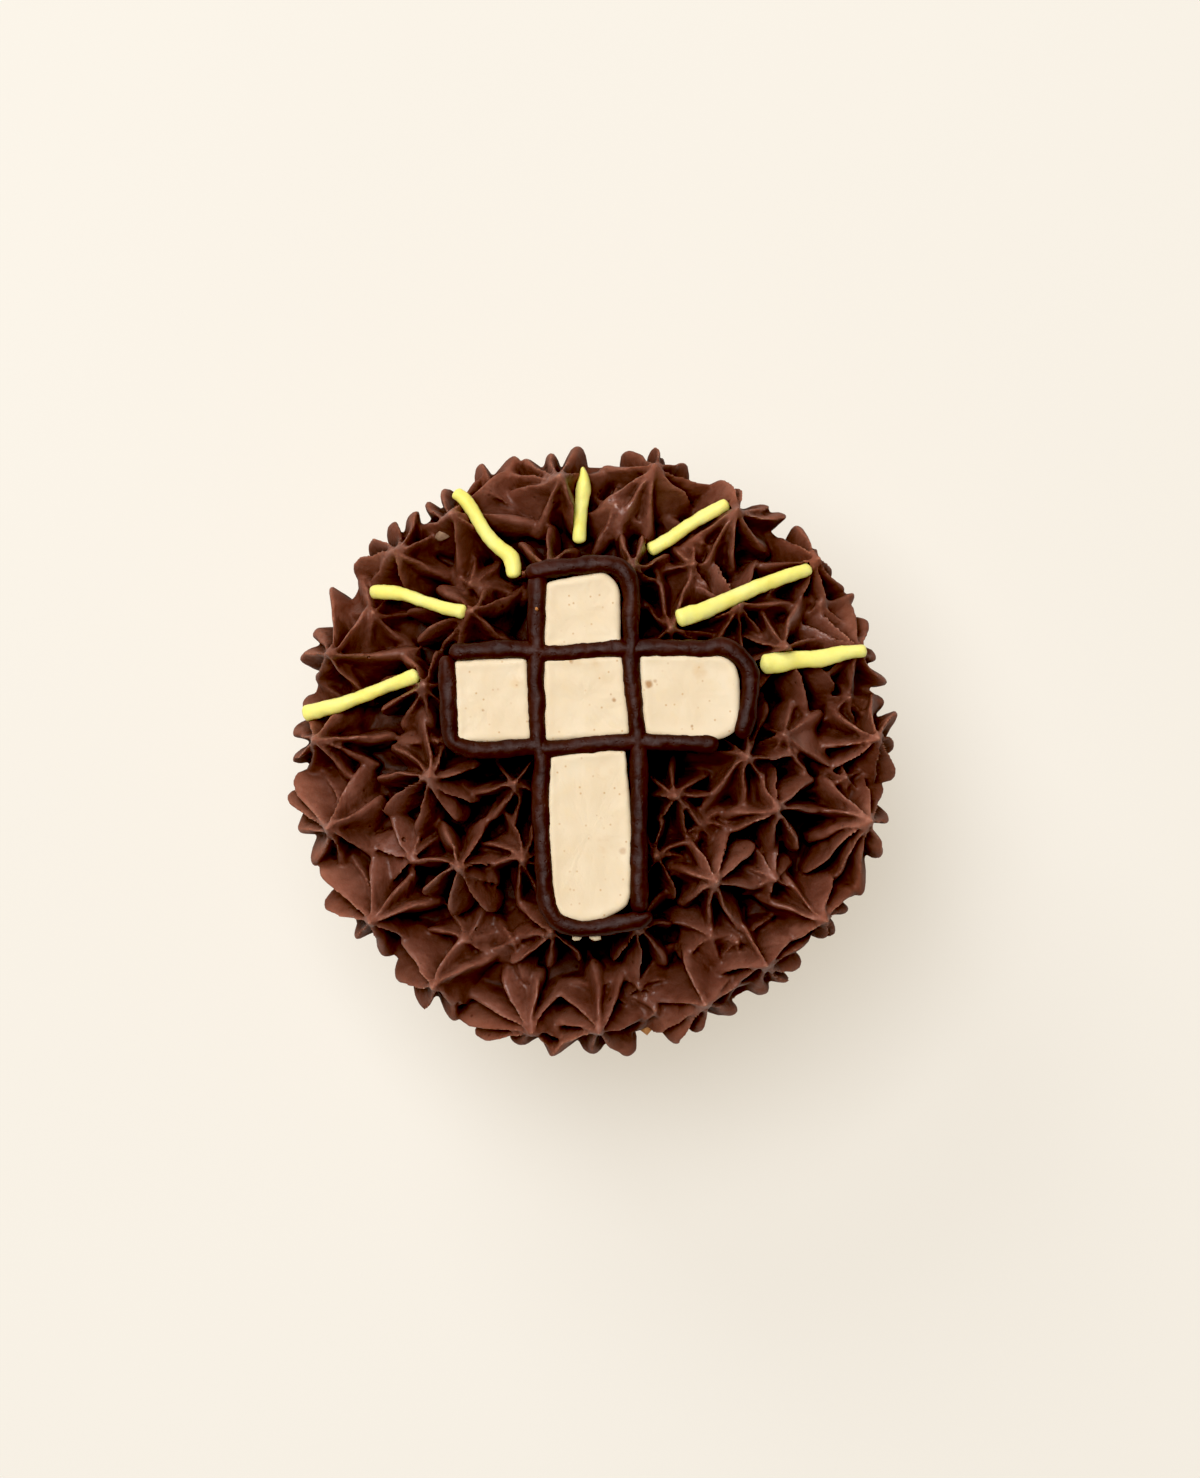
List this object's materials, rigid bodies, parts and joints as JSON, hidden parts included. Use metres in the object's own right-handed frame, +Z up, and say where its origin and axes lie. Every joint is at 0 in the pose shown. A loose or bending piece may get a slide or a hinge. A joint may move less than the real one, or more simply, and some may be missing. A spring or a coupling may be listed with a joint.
{
  "type": "frosted cupcake",
  "caption": "Cupcake in a pleated paper case, covered in star-piped chocolate frosting and topped with a small cream and chocolate cross and yellow rays.",
  "frame": {"origin": "centre of the paper case's flat base, on the surface it stands on", "axes": "+Z up through the cake, +Y towards the top of the cross, +X to the right of the cross seen from above"},
  "size_m": [0.0752, 0.0754, 0.0586],
  "materials": {
    "paper": "matte greaseproof paper, natural light brown",
    "sponge": "matte open-crumb sponge, golden",
    "frosting": "satin chocolate buttercream",
    "chocolate": "dark piped chocolate with a soft shine",
    "cream": "set ivory cream with fine specks, satin",
    "yellow": "pale yellow set chocolate, satin"
  },
  "bodies": {
    "root": {"paper_case": "paper", "cake": "sponge", "frosting": "frosting", "cross_outline": "chocolate", "cross_fill_top": "cream", "cross_fill_left": "cream", "cross_fill_centre": "cream", "cross_fill_right": "cream", "cross_fill_foot": "cream", "ray_1": "yellow", "ray_2": "yellow", "ray_3": "yellow", "ray_4": "yellow", "ray_5": "yellow", "ray_6": "yellow", "ray_7": "yellow"}
  },
  "joints": []
}
